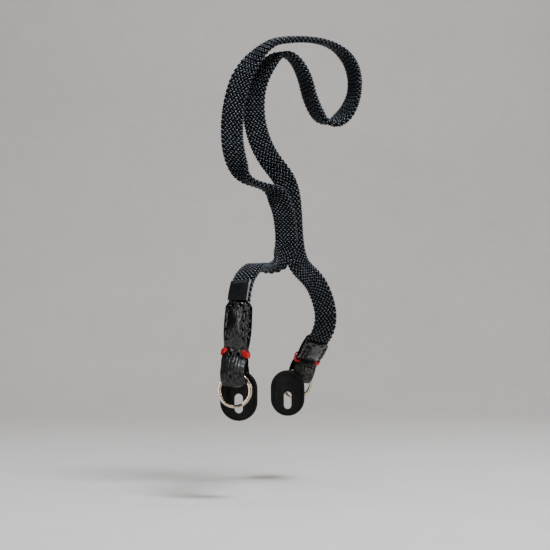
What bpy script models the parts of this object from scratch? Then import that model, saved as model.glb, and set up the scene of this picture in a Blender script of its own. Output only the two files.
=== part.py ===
"""Flat rope strap with leather ends: one flat braided rope, and at each end of it a leather tab that
is folded round a split ring, two red whippings, and a leather pad behind the ring.

Metres, +Z up. The origin is where the near split ring sits on its lug. +Y runs from the near lug to
the far one. The strap keeps the form in which it stands up over the two lugs."""

import math

import bmesh
import bpy
import numpy as np
from mathutils import Matrix, Vector

MM = 0.001
GAP = 0.3 * MM

ROPE_WIDTH = 14.0 * MM
ROPE_THICK = 4.0 * MM
ROPE_EDGE_RADIUS = 1.7 * MM
ROPE_STEP = 3.0 * MM
EASE_OVER = 15

# The route is laid out as seen from a little to the right of the near end.
LAYOUT_TURN = math.radians(14)

RING_OUTER = 10.0 * MM
RING_RADIAL = 1.9 * MM
RING_COIL = 0.95 * MM
RING_COIL_GAP = 0.2 * MM
RING_COIL_TURN = math.radians(325)
RING_JOG_TURN = math.radians(40)
RING_START = math.radians(-60)
RING_MID = RING_OUTER - RING_RADIAL / 2
RING_INNER = RING_OUTER - RING_RADIAL
LOOP_HEIGHT = RING_INNER + RING_MID

LUG_SPAN = 140.0 * MM

LEATHER = 1.9 * MM
LEATHER_EDGE = 1.5 * MM
LOOP_INNER = 5.5 * MM
LOOP_MID = LOOP_INNER + LEATHER / 2
LOOP_OUTER = LOOP_INNER + LEATHER
LAYER_MID = ROPE_THICK / 2 + GAP + LEATHER / 2
WAIST = 12.8 * MM
WAIST_MID = 1.7 * MM
TAB_TOP = 40.8 * MM
BEND_FROM = 5.0 * MM
BEND_TO = 18.0 * MM

WHIP_THICK = 1.0 * MM
WHIP_TALL = 4.6 * MM
WHIP_INNER_X = 4.4 * MM

PAD_WIDE = 22.0 * MM
PAD_TALL = 29.0 * MM
PAD_THICK = 2.0 * MM
PAD_EDGE = 0.5 * MM
SLOT_WIDE = 5.0 * MM
SLOT_TALL = 11.0 * MM
SLOT_RISE = -4.6 * MM
NEAR_PAD_HEIGHT = 5.0 * MM
FAR_PAD_HEIGHT = 2.0 * MM
FAR_PAD_FACE = 128.0 * MM

LABEL_THICK = 0.7 * MM
LABEL_LEFT = -6.4 * MM
LABEL_RIGHT = 5.8 * MM
LABEL_FROM = 20.7 * MM
LABEL_LONG = 11.5 * MM

# How the near tab's head stands over its ring: leant over and turned a little.
NEAR_HEAD_LEAN = math.radians(3.8)
NEAR_HEAD_TURN = math.radians(12)

# The far tab, in the layout's directions: right, away and up, in mm where it is a place.
FAR_RING_RISES = (0.346, -0.215, 0.913)
FAR_RING_ACROSS = (0.96, 0.2, -0.1)
FAR_HEAD = (49.8, 99.7, 36.2)
FAR_HEAD_RISES = (0.229, -0.86, 0.45)
FAR_HEAD_ACROSS = (0.957, 0.22, -0.16)

# The rope's route from the near tab to the far one, in mm: right, away and up, then which way the
# rope's label side faces there, again as right, away and up.
ROUTE = (
    # near tab and near leg
    (1.3, -0.3, 37.8, -0.44, -0.9, 0),
    (1.9, -0.5, 47.1, -0.44, -0.9, 0),
    (2.6, -0.6, 57.9, -0.44, -0.9, 0),
    (3.5, 1.3, 64.5, -0.42, -0.9, 0.25),
    (5.2, 6.2, 70.9, -0.35, -0.8, 0.55),
    (7.8, 14.0, 75.5, -0.25, -0.55, 0.85),
    # run to the foot of the front strand
    (10.5, 23.5, 78.4, -0.15, -0.2, 1),
    (12.4, 33.5, 79.3, 0, 0, 1),
    (14.4, 43.0, 79.5, 0, 0, 1),
    (17.2, 51.0, 79.8, -0.12, 0.12, 1),
    (21.4, 57.0, 80.4, -0.42, 0.45, 0.75),
    (25.5, 60.0, 83.2, -0.48, 0.75, 0.3),
    # front strand
    (28.3, 61.2, 88.0, -0.3, 0.93, 0.05),
    (29.4, 61.5, 93.0, -0.1, 1, 0),
    (29.5, 61.5, 99.5, 0, 1, 0),
    (28.6, 61.5, 108.0, 0, 1, 0),
    (26.6, 61.2, 117.0, 0, 1, 0.15),
    # fold to the left
    (22.8, 60.6, 124.0, 0, 0.6, 0.75),
    (17.0, 60.0, 128.0, 0, 0.05, 1),
    (10.0, 59.8, 130.2, 0.05, 0.05, 1),
    (3.6, 60.0, 134.6, 0.3, 0.45, 0.8),
    (-0.2, 60.3, 142.5, 0.25, 0.95, 0.3),
    # left strand of the loop
    (-2.6, 60.5, 152.0, 0.05, 1, 0),
    (-3.2, 61.0, 162.0, 0, 1, 0),
    (-2.8, 61.5, 171.5, 0, 1, 0),
    (-0.4, 62.0, 184.5, 0.1, 1, -0.1),
    (2.6, 62.5, 194.0, 0.3, 1, -0.2),
    (7.6, 63.5, 202.8, 0.4, 0.8, -0.5),
    # over the top
    (13.8, 64.5, 210.4, 0.4, 0.5, -0.8),
    (22.0, 66.0, 216.5, 0.2, 0.3, -1),
    (30.5, 67.0, 218.0, 0, 0.25, -1),
    (39.5, 68.0, 218.5, -0.05, 0.2, -1),
    (49.5, 69.0, 217.5, -0.2, 0.1, -1),
    (57.5, 70.0, 215.0, -0.5, 0, -1),
    # right side of the loop
    (63.6, 70.5, 210.6, -0.8, -0.3, -0.8),
    (68.2, 71.0, 205.0, -1, -0.5, -0.4),
    (71.0, 71.5, 196.5, -1, -0.6, -0.1),
    (71.0, 72.0, 186.5, -1, -0.6, 0.1),
    (68.0, 72.0, 177.5, -0.9, -0.8, 0.5),
    (63.8, 72.0, 171.5, -0.5, -0.8, 0.8),
    # its lowest turn
    (58.5, 72.0, 168.2, 0, -0.5, 1),
    (54.2, 72.0, 168.4, 0.3, 0, 1),
    (50.0, 72.0, 171.3, 0.6, 0.4, 0.8),
    # up to the inner peak
    (46.4, 72.0, 177.5, 0.9, 0.6, 0.4),
    (43.4, 72.0, 185.0, 0.9, 0.6, 0.3),
    (41.4, 72.0, 193.5, 0.9, 0.6, 0.3),
    (38.6, 72.0, 200.3, 0.9, 0.5, 0.5),
    (34.6, 72.0, 206.6, 0.7, 0.3, 0.8),
    (29.6, 71.5, 210.2, 0.2, 0, 1),
    (25.0, 71.0, 209.4, -0.3, -0.3, 1),
    # inner strand, behind the left one
    (20.6, 70.5, 206.0, -0.5, -0.6, 0.6),
    (16.8, 70.0, 201.0, -0.6, -0.8, 0.4),
    (12.8, 70.0, 194.0, -0.5, -1, 0.2),
    (10.6, 70.0, 187.0, -0.3, -1, 0.1),
    (9.8, 70.0, 179.5, -0.2, -1, 0),
    (10.0, 70.0, 171.5, -0.1, -1, 0),
    (11.4, 70.0, 163.5, 0, -1, -0.1),
    (14.0, 70.0, 155.5, 0, -1, -0.2),
    (18.0, 70.0, 147.5, 0, -1, -0.35),
    (23.0, 70.0, 140.5, 0, -1, -0.5),
    (27.8, 69.6, 134.0, 0, -1, -0.4),
    # rear strand
    (30.8, 69.6, 126.5, 0, -1, -0.1),
    (32.1, 69.6, 117.5, 0, -1, 0),
    (32.7, 69.6, 108.0, 0, -1, 0),
    (33.2, 69.8, 98.5, 0, -1, 0),
    (34.4, 70.2, 89.5, 0.1, -1, 0),
    # far leg
    (36.6, 71.2, 82.8, 0.3, -0.95, -0.1),
    (39.6, 73.0, 78.4, 0.5, -0.8, -0.05),
    (43.4, 75.6, 75.2, 0.55, -0.75, -0.1),
    (46.8, 79.8, 71.4, 0.5, -0.8, -0.3),
    (49.8, 83.0, 66.2, 0.25, -0.85, -0.45),
    (52.2, 86.0, 60.0, 0.05, -0.9, -0.42),
    (53.8, 88.3, 53.4, 0, -0.92, -0.38),
    (53.9, 90.6, 47.2, -0.02, -0.85, -0.45),
    (52.6, 94.0, 41.3, -0.03, -0.7, -0.65),
    # far tab
    (49.8, 99.7, 36.2, -0.04, -0.47, -0.88),
    (47.5, 108.3, 31.7, -0.04, -0.47, -0.88),
    (45.2, 117.0, 27.2, -0.04, -0.47, -0.88),
)

# A layer of a tab, from the waist's middle down to the loop: its distance from the tab's middle and
# its height over the ring's wire.
LAYER = (
    (LAYER_MID + 0.2 * MM, TAB_TOP),
    (LAYER_MID, WAIST + 7.2 * MM),
    (LAYER_MID - 0.75 * MM, WAIST + 4.6 * MM),
    (WAIST_MID, WAIST + 2.4 * MM),
    (WAIST_MID, WAIST),
    (WAIST_MID, WAIST - 2.4 * MM),
    (3.4 * MM, WAIST - 5.2 * MM),
    (5.3 * MM, 4.4 * MM),
    (LOOP_MID - 0.1 * MM, 1.8 * MM),
)

# A tab's half width by its height over the ring's wire.
TAB_WIDTHS = (
    # height, half width
    (-LOOP_OUTER, 7.0 * MM),
    (WAIST - 7.0 * MM, 7.0 * MM),
    (WAIST - 4.0 * MM, 7.5 * MM),
    (WAIST, 7.5 * MM),
    (WAIST + 5.0 * MM, 7.4 * MM),
    (TAB_TOP - 2.8 * MM, 7.2 * MM),
    (TAB_TOP, 5.4 * MM),
)


def clear_scene():
    for obj in list(bpy.data.objects):
        bpy.data.objects.remove(obj, do_unlink=True)


def material(name, colour, roughness, metallic=0.0):
    made = bpy.data.materials.new(name)
    made.use_nodes = True
    shader = made.node_tree.nodes["Principled BSDF"]
    shader.inputs["Base Color"].default_value = (*colour, 1)
    shader.inputs["Roughness"].default_value = roughness
    shader.inputs["Metallic"].default_value = metallic
    return made


def add_object(name, mesh, look, matrix=None):
    obj = bpy.data.objects.new(name, mesh)
    obj.data.materials.append(look)
    if matrix is not None:
        obj.matrix_world = matrix
    bpy.context.scene.collection.objects.link(obj)
    return obj


def skin(name, rings):
    """A mesh through closed rings of points, with a cap on its first and its last."""
    mesh = bpy.data.meshes.new(name)
    made = bmesh.new()
    rows = [[made.verts.new(point) for point in ring] for ring in rings]
    for low, high in zip(rows, rows[1:]):
        for k in range(len(low)):
            nxt = (k + 1) % len(low)
            made.faces.new((low[k], low[nxt], high[nxt], high[k]))
    made.faces.new(reversed(rows[0]))
    made.faces.new(rows[-1])
    bmesh.ops.recalc_face_normals(made, faces=made.faces)
    made.to_mesh(mesh)
    made.free()
    mesh.shade_smooth()
    mesh.set_sharp_from_angle(angle=math.radians(40))
    return mesh


def rounded_box(width, thick, radius, steps):
    """The outline of a flat box with round corners, as (across, through) pairs."""
    outline = []
    for corner, (sx, sy) in enumerate(((1, 1), (-1, 1), (-1, -1), (1, -1))):
        cx = sx * (width / 2 - radius)
        cy = sy * (thick / 2 - radius)
        for k in range(steps + 1):
            turn = math.pi / 2 * (corner + k / steps)
            outline.append((cx + radius * math.cos(turn), cy + radius * math.sin(turn)))
    return outline


def frame_at(place, across, up):
    """The matrix of a frame at place whose Z is up and whose X is the nearest to across."""
    z = up.normalized()
    x = (across - across.dot(z) * z).normalized()
    y = z.cross(x)
    return Matrix.Translation(place) @ Matrix((x, y, z)).transposed().to_4x4()


def hermite(rows, per_span):
    """Samples of a smooth curve through the rows, whose first three values are a place."""
    rows = np.array(rows, float)
    ahead = np.linalg.norm(np.diff(rows[:, :3], axis=0), axis=1)[:, None]
    slope = np.diff(rows, axis=0) / ahead
    inner = (slope[:-1] * ahead[1:] + slope[1:] * ahead[:-1]) / (ahead[1:] + ahead[:-1])
    tangent = np.vstack((slope[:1], inner, slope[-1:]))
    samples = []
    for k in range(per_span):
        u = k / per_span
        samples.append(
            (2 * u**3 - 3 * u**2 + 1) * rows[:-1]
            + (u**3 - 2 * u**2 + u) * ahead * tangent[:-1]
            + (3 * u**2 - 2 * u**3) * rows[1:]
            + (u**3 - u**2) * ahead * tangent[1:]
        )
    spans = np.stack(samples, axis=1).reshape(-1, rows.shape[1])
    return np.vstack((spans, rows[-1:]))


def evened(samples, step):
    """The samples at equal steps along the curve."""
    run = np.linalg.norm(np.diff(samples[:, :3], axis=0), axis=1)
    at = np.concatenate(([0], np.cumsum(run)))
    wanted = np.linspace(0, at[-1], round(at[-1] / step) + 1)
    return np.stack([np.interp(wanted, at, column) for column in samples.T], axis=1)


def eased(samples):
    """The samples averaged with their neighbours, with both ends kept."""
    reach = EASE_OVER // 2
    before = 2 * samples[0] - samples[reach:0:-1]
    after = 2 * samples[-1] - samples[-2 : -reach - 2 : -1]
    longer = np.vstack((before, samples, after))
    weight = np.hanning(EASE_OVER + 2)[1:-1]
    weight /= weight.sum()
    return np.stack([np.convolve(column, weight, "valid") for column in longer.T], axis=1)


def turned(vector):
    """A direction or place of the layout, in the part's own axes."""
    return Matrix.Rotation(LAYOUT_TURN, 3, "Z") @ Vector(vector)


def rope_frames():
    """Every millimetre along the rope: its place, the way it runs, its label side and its width."""
    rows = np.array([(*turned(row[:3]), *turned(row[3:])) for row in ROUTE])
    samples = eased(evened(hermite(rows, 12), 1.0))
    place = samples[:, :3] * MM
    along = np.gradient(place, axis=0)
    along /= np.linalg.norm(along, axis=1)[:, None]
    face = samples[:, 3:]
    face = face - (face * along).sum(axis=1)[:, None] * along
    face /= np.linalg.norm(face, axis=1)[:, None]
    return place, along, face, np.cross(along, face)


def flat_rope(look):
    place, along, face, across = rope_frames()
    outline = rounded_box(ROPE_WIDTH, ROPE_THICK, ROPE_EDGE_RADIUS, 2)
    stations = np.linspace(0, len(place) - 1, round((len(place) - 1) * MM / ROPE_STEP) + 1)
    rings = []
    for k in np.round(stations).astype(int):
        rings.append([place[k] + u * across[k] + v * face[k] for u, v in outline])
    add_object("flat_rope", skin("flat_rope", rings), look)


def label(look):
    """The smooth patch on the rope's label side, just over the near tab."""
    place, along, face, across = rope_frames()
    base = ROPE_THICK / 2 + GAP
    middle = (LABEL_LEFT + LABEL_RIGHT) / 2
    outline = rounded_box(LABEL_RIGHT - LABEL_LEFT, LABEL_THICK, 0.3 * MM, 1)
    first = round(LABEL_FROM / MM)
    last = first + round(LABEL_LONG / MM)
    rings = []
    for k in range(first, last + 1, 2):
        lifted = place[k] + (base + LABEL_THICK / 2) * face[k]
        rings.append([lifted + (middle + u) * across[k] + v * face[k] for u, v in outline])
    add_object("label", skin("label", rings), look)


def tab_path():
    """The middle of the folded leather in a tab's own frame: from the top of the front layer, down,
    round the loop and up the back one, as (y, z) pairs."""
    front = [(-y, z) for y, z in LAYER]
    bottom = []
    for k in range(1, 8):
        turn = math.pi * k / 8
        bottom.append((-LOOP_MID * math.cos(turn), -LOOP_MID * math.sin(turn)))
    return front + bottom + list(reversed(LAYER))


def half_width(height):
    heights, halves = zip(*TAB_WIDTHS)
    return float(np.interp(height, heights, halves))


def tab_shape(wire, head):
    """A function from a place in a tab's own frame to where it lies. The tab stands as the wire's
    frame does round the ring and as the head's frame does round the rope, and bends between."""
    low = wire.to_3x3()
    high = head.to_3x3()
    foot = wire @ Vector((0, 0, BEND_FROM))
    neck = head @ Vector((0, 0, BEND_TO - TAB_TOP))
    reach = BEND_TO - BEND_FROM

    def placed(x, y, z):
        if z <= BEND_FROM:
            return wire @ Vector((x, y, z))
        if z >= BEND_TO:
            return head @ Vector((x, y, z - TAB_TOP))
        u = (z - BEND_FROM) / reach
        share = 3 * u**2 - 2 * u**3
        start = (u**3 - 2 * u**2 + u) * reach * low.col[2]
        end = (u**3 - u**2) * reach * high.col[2]
        middle = foot.lerp(neck, share) + start + end
        rises = (
            (6 * u - 6 * u**2) * (neck - foot)
            + (3 * u**2 - 4 * u + 1) * reach * low.col[2]
            + (3 * u**2 - 2 * u) * reach * high.col[2]
        )
        return frame_at(middle, low.col[0].lerp(high.col[0], share), rises) @ Vector((x, y, 0))

    return placed


def leather_tab(name, placed, look):
    """One leather strip folded round the ring's wire."""
    path = [Vector((0, y, z)) for y, z in tab_path()]
    rings = []
    for k, middle in enumerate(path):
        ahead = path[min(k + 1, len(path) - 1)] - path[max(k - 1, 0)]
        outward = Vector((0, ahead.z, -ahead.y)).normalized()
        half = half_width(middle.z)
        inner = middle - outward * LEATHER / 2
        ring = [inner + Vector((-half, 0, 0)), inner + Vector((half, 0, 0))]
        for share in (1, 0.5, 0, -0.5, -1):
            thick = LEATHER_EDGE + (LEATHER - LEATHER_EDGE) * (1 - share**2)
            ring.append(inner + outward * thick + Vector((share * half, 0, 0)))
        rings.append([placed(*point) for point in ring])
    add_object(name, skin(name, rings), look)


def whipping(name, placed, side, look):
    """The thread wound round one edge of a tab's waist, as a clip that is open to the middle."""
    inner_y = WAIST_MID + LEATHER / 2 + GAP
    outer_y = inner_y + WHIP_THICK
    inner_x = half_width(WAIST - WHIP_TALL / 2) + GAP
    outer_x = inner_x + WHIP_THICK
    corner = 0.5 * MM
    outline = (
        (WHIP_INNER_X, -outer_y),
        (outer_x - corner, -outer_y),
        (outer_x, -outer_y + corner),
        (outer_x, outer_y - corner),
        (outer_x - corner, outer_y),
        (WHIP_INNER_X, outer_y),
        (WHIP_INNER_X, inner_y),
        (inner_x, inner_y),
        (inner_x, -inner_y),
        (WHIP_INNER_X, -inner_y),
    )
    rings = []
    for height in (WAIST - WHIP_TALL / 2, WAIST, WAIST + WHIP_TALL / 2):
        rings.append([placed(side * x, y, height) for x, y in outline])
    add_object(name, skin(name, rings), look)


def split_ring(name, matrix, look):
    """Two coils of flat wire joined by a jog. The frame's origin is on the wire at the ring's top."""
    outline = rounded_box(RING_RADIAL, RING_COIL, 0.35 * MM, 1)
    shift = (RING_COIL + RING_COIL_GAP) / 2
    total = 2 * RING_COIL_TURN + RING_JOG_TURN - math.radians(10)
    steps = 58
    rings = []
    for k in range(steps + 1):
        turn = total * k / steps
        jog = min(max((turn - RING_COIL_TURN) / RING_JOG_TURN, 0), 1)
        side = -shift + 2 * shift * (3 * jog**2 - 2 * jog**3)
        ray = Vector((math.cos(RING_START + turn), 0, math.sin(RING_START + turn)))
        centre = Vector((0, side, -RING_MID))
        rings.append([centre + ray * (RING_MID + u) + Vector((0, v, 0)) for u, v in outline])
    add_object(name, skin(name, rings), look, matrix)


def oblong(wide, tall, rise, steps):
    """An upright oblong's outline in X and Z, round at both ends."""
    radius = wide / 2
    straight = tall / 2 - radius
    outline = []
    for end in (1, -1):
        for k in range(steps + 1):
            turn = math.pi * k / steps
            outline.append((end * radius * math.cos(turn), rise + end * (straight + radius * math.sin(turn))))
    return outline


def pad(name, place, look):
    """A leather plate with an upright slot for the lug. Its frame's origin is in its front face."""
    body = bmesh.new()
    mesh = bpy.data.meshes.new(name)
    rows = []
    # depth behind the front face, how far the edge is drawn in
    for depth, drawn in ((0, PAD_EDGE), (PAD_EDGE, 0), (PAD_THICK - PAD_EDGE, 0), (PAD_THICK, PAD_EDGE)):
        outline = oblong(PAD_WIDE - 2 * drawn, PAD_TALL - 2 * drawn, 0, 12)
        rows.append([body.verts.new((x, depth, z)) for x, z in outline])
    slot_rows = []
    for depth in (0, PAD_THICK):
        outline = oblong(SLOT_WIDE, SLOT_TALL, SLOT_RISE, 12)
        slot_rows.append([body.verts.new((x, depth, z)) for x, z in outline])
    count = len(rows[0])
    for low, high in zip([slot_rows[0]] + rows, rows + [slot_rows[1]]):
        for k in range(count):
            nxt = (k + 1) % count
            body.faces.new((low[k], low[nxt], high[nxt], high[k]))
    for k in range(count):
        nxt = (k + 1) % count
        body.faces.new((slot_rows[1][k], slot_rows[1][nxt], slot_rows[0][nxt], slot_rows[0][k]))
    bmesh.ops.recalc_face_normals(body, faces=body.faces)
    body.to_mesh(mesh)
    body.free()
    mesh.shade_smooth()
    mesh.set_sharp_from_angle(angle=math.radians(40))
    return add_object(name, mesh, look, Matrix.Translation(place))


def near_frames():
    """The near ring's frame, at its top wire, and the frame of the near tab's head."""
    top = Vector((0, 0, LOOP_HEIGHT))
    rises = Vector((math.sin(NEAR_HEAD_LEAN), 0, math.cos(NEAR_HEAD_LEAN)))
    across = Vector((math.cos(NEAR_HEAD_TURN), -math.sin(NEAR_HEAD_TURN), 0))
    return Matrix.Translation(top), frame_at(top + TAB_TOP * rises, across, rises)


def far_frames():
    """The far ring's frame, at its top wire, and the frame of the far tab's head."""
    seat = Vector((0, LUG_SPAN, 0))
    rises = turned(FAR_RING_RISES).normalized()
    ring = frame_at(seat + LOOP_HEIGHT * rises, turned(FAR_RING_ACROSS), rises)
    head = frame_at(turned(FAR_HEAD) * MM, turned(FAR_HEAD_ACROSS), turned(FAR_HEAD_RISES))
    return ring, head


def strap():
    braid = material("black_braid", (0.03, 0.035, 0.04), 0.6)
    leather = material("black_leather", (0.02, 0.019, 0.018), 0.45)
    steel = material("steel", (0.75, 0.73, 0.7), 0.25, 1.0)
    thread = material("red_thread", (0.75, 0.02, 0.02), 0.6)
    patch = material("smooth_patch", (0.015, 0.015, 0.017), 0.4)
    flat_rope(braid)
    label(patch)
    for end, (ring, head) in (("near", near_frames()), ("far", far_frames())):
        placed = tab_shape(ring, head)
        split_ring(f"{end}_split_ring", ring, steel)
        leather_tab(f"{end}_leather", placed, leather)
        whipping(f"{end}_whipping_left", placed, -1, thread)
        whipping(f"{end}_whipping_right", placed, 1, thread)
    pad("near_pad", Vector((0, LOOP_OUTER + GAP, NEAR_PAD_HEIGHT)), leather)
    pad("far_pad", Vector((0, FAR_PAD_FACE - PAD_THICK, FAR_PAD_HEIGHT)), leather)


clear_scene()
strap()
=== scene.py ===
"""The flat rope strap as it looks: braided yarns over a dark core, leather tabs with stitches and red
whippings, split rings, leather pads and a bare patch. Metres, in the same frame as the part. Tables
that are laid out on the photograph give places as right, away and up in it, and turned() brings them
into the part's axes."""

import math

import bpy
import numpy as np
from mathutils import Matrix, Vector


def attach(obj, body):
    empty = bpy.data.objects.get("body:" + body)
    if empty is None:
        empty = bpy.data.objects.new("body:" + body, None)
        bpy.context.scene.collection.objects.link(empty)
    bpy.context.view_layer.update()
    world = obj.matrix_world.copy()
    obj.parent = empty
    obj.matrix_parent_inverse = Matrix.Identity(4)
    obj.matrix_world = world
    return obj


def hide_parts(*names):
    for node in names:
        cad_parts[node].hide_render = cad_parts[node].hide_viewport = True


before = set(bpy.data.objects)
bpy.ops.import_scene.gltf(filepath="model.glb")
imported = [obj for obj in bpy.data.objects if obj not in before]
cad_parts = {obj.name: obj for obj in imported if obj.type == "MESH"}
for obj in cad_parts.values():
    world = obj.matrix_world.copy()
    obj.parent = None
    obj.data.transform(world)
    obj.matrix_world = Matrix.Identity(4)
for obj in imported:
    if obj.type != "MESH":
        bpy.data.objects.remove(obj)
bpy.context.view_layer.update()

MM = 0.001

LAYOUT_TURN = math.radians(14)
CAMERA_LENS = 111.27
CAMERA_SENSOR = 36
CAMERA_PLACE = (22.7 * MM, -958.7 * MM, 43.0 * MM)
CAMERA_TILT = math.radians(91.8)

FLOOR_DROP = 54 * MM
FLOOR_HALF_WIDTH = 3.0
FLOOR_NEAR_END = -2.5
FLOOR_FAR_END = 0.9
WALL_CURVE = 0.9
WALL_TOP = 2.6
FLOOR_COLUMNS = 9
CURVE_STEPS = 12

LIGHT_TARGET = (0.03, 0.06, 0.1)
LIGHTS = (
    # name, place, target, size, watts, colour
    ("key_soft", (0.36, -0.36, 1.1), LIGHT_TARGET, (0.34, 0.34), 26.0, (0.88, 0.95, 1.0)),
    ("right_soft", (0.88, -0.6, 0.4), LIGHT_TARGET, (0.1, 0.85), 8.0, (1.0, 0.96, 0.92)),
    ("left_soft", (-0.55, -0.77, 0.2), LIGHT_TARGET, (0.06, 0.66), 1.9, (1.0, 0.97, 0.94)),
    ("wall_wash", (0.0, 0.55, 1.5), (0.0, 1.6, 0.3), (1.4, 0.5), 14.0, (1.0, 0.97, 0.94)),
)
SKY_COLOUR = (0.9, 0.92, 1.0, 1)
SKY_STRENGTH = 0.04

ROPE_THICK = 4.0 * MM
# The rope's route is sampled every millimetre and averaged over this many samples.
ROUTE_STEP = 1.0
EASE_OVER = 15

# The rope's outline under the yarns, and the yarns' own size.
CORE_HALF_WIDTH = 6.2 * MM
CORE_HALF_THICK = 1.2 * MM
CORE_RADIUS = 1.15 * MM
OUTLINE_STEPS = 40
SECTION_SAMPLES = 721
COLUMNS = 24
# Shares of a row's pitch: the shift of every other column, a yarn's reach and its half width.
YARN_SHIFT = 0.5
YARN_REACH = 0.29
YARN_HALF_WIDTH = 0.14
# A share of a column's width.
YARN_LEAN = 0.82
YARN_LIFT = 0.38 * MM
YARN_DIVE = 0.7 * MM
YARN_HALF_TALL = 0.5 * MM
# A yarn's rings of points from one dive to the other, how much narrower and flatter it is at its
# ends, and how small the last ring is beside that.
YARN_STEPS = (-1, -0.8, -0.42, 0, 0.42, 0.8, 1)
YARN_AROUND = 6
YARN_NARROWER = 0.45
YARN_FLATTER = 0.35
YARN_TIP = 0.35
# How much the yarns differ: in row, place round the rope, height, width and lean.
ROW_SPREAD = 0.02
ROUND_SPREAD = 0.03 * MM
TALL_SPREAD = 0.07
BROAD_SPREAD = 0.05
LEAN_SPREAD = 0.06
# Where one braid piece ends and the next starts, in mm along the rope.
BRAID_CUTS = (160, 320, 480)
BRAID_MARGIN = 0.8

RING_OUTER = 10.0 * MM
RING_RADIAL = 1.9 * MM
RING_COIL = 0.95 * MM
RING_COIL_GAP = 0.2 * MM
RING_COIL_TURN = math.radians(325)
RING_JOG_TURN = math.radians(40)
RING_START = math.radians(-60)
RING_SHORT = math.radians(10)
RING_CORNER = 0.4 * MM
RING_MID = RING_OUTER - RING_RADIAL / 2
RING_INNER = RING_OUTER - RING_RADIAL
LOOP_HEIGHT = RING_INNER + RING_MID
LUG_SPAN = 140.0 * MM

GAP = 0.3 * MM
LEATHER = 1.9 * MM
LEATHER_DROP = 1.45 * MM
LEATHER_ROUNDING = 2.4
EDGE_ROUND = 0.5 * MM
EDGE_DROP = 0.4 * MM
EDGE_FADE = 0.6 * MM
TIP_LONG = 0.8 * MM
TIP_DROP = 0.5 * MM
LOOP_INNER = 5.5 * MM
LOOP_MID = LOOP_INNER + LEATHER / 2
LOOP_OUTER = LOOP_INNER + LEATHER
LAYER_MID = ROPE_THICK / 2 + GAP + LEATHER / 2
WAIST = 12.8 * MM
WAIST_MID = 1.7 * MM
TAB_TOP = 40.8 * MM
TAB_STEP = 0.3 * MM
TAB_OUTER_COLUMNS = 61
TAB_INNER_COLUMNS = 11
BEND_FROM = 5.0 * MM
BEND_TO = 18.0 * MM
STITCH_IN_LEFT = 2.1 * MM
STITCH_IN_RIGHT = 1.6 * MM
# In mm: the seam holes' heights, how far from their middles the stitches start, how deep they
# start and how far they stand out.
STITCH_HEIGHTS = (20.4, 25.3, 30.2, 35.0)
STITCH_CLEAR = 0.7
STITCH_DEEP = 1.2
STITCH_PROUD = 0.1
STITCH_RADIUS = 0.42 * MM
# Half width, half height and depth of the holes at the seams.
SEAM_HOLE = (0.95 * MM, 1.25 * MM, 1.3 * MM)
# The same after x and height, for the holes at a tab's top and under its waist.
TOP_HOLE = (2.5 * MM, TAB_TOP - 1.6 * MM, 0.85 * MM, 0.85 * MM, 0.9 * MM)
WAIST_HOLE = (2.3 * MM, WAIST - 1.3 * MM, 0.95 * MM, 0.95 * MM, 0.9 * MM)
# How high the leather's relief stands, and the size of the channel along its seams.
SWELL = 0.11 * MM
CREASE = 0.1 * MM
FOLD = 0.05 * MM
GATHER = 0.13 * MM
CHANNEL_DEEP = 0.34 * MM
CHANNEL_WIDE = 0.75 * MM

# The red thread round each edge of a tab's waist.
WHIP_TURNS = 5
WHIP_RADIUS = 0.42 * MM
WHIP_INNER_X = 4.9 * MM
WHIP_RISE = 0.4 * MM
WHIP_SLANT = 0.55

PAD_WIDE = 22.0 * MM
PAD_TALL = 29.0 * MM
PAD_THICK = 2.0 * MM
SLOT_WIDE = 5.0 * MM
SLOT_TALL = 11.0 * MM
SLOT_RISE = -4.6 * MM
NEAR_PAD_HEIGHT = 5.0 * MM
FAR_PAD_HEIGHT = 2.0 * MM
FAR_PAD_FACE = 128.0 * MM
# From the rim to the slot: the share of the way, and the depth behind the front face in mm.
PAD_PROFILE = (
    (0.0, 0.75), (0.012, 0.4), (0.04, 0.12), (0.09, 0.02), (0.15, 0.0), (0.19, 0.04), (0.215, 0.24),
    (0.24, 0.04), (0.29, 0.0), (0.45, -0.03), (0.62, -0.03), (0.8, 0.0), (0.9, 0.03), (0.96, 0.12),
    (0.99, 0.32), (1.0, 0.6),
)

# The patch on the rope: its place over the rope's width and along it, and its height out of it.
LABEL_LEFT = -6.4 * MM
LABEL_RIGHT = 5.8 * MM
LABEL_FROM = 20.7 * MM
LABEL_LONG = 11.5 * MM
LABEL_TOP = 3.0 * MM
LABEL_LOW = 1.7 * MM
LABEL_SOFT = 0.55 * MM
# The width of the pale line painted along the patch's side edges, as a painted highlight.
LABEL_EDGE_HIGHLIGHT = 0.07 * MM

# How the ring frames and the tabs' heads stand, the far ones as right, away and up.
NEAR_HEAD_LEAN = math.radians(3.8)
NEAR_HEAD_TURN = math.radians(12)
FAR_RING_RISES = (0.346, -0.215, 0.913)
FAR_RING_ACROSS = (0.96, 0.2, -0.1)
FAR_HEAD = (49.8, 99.7, 36.2)
FAR_HEAD_RISES = (0.229, -0.86, 0.45)
FAR_HEAD_ACROSS = (0.957, 0.22, -0.16)

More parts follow.
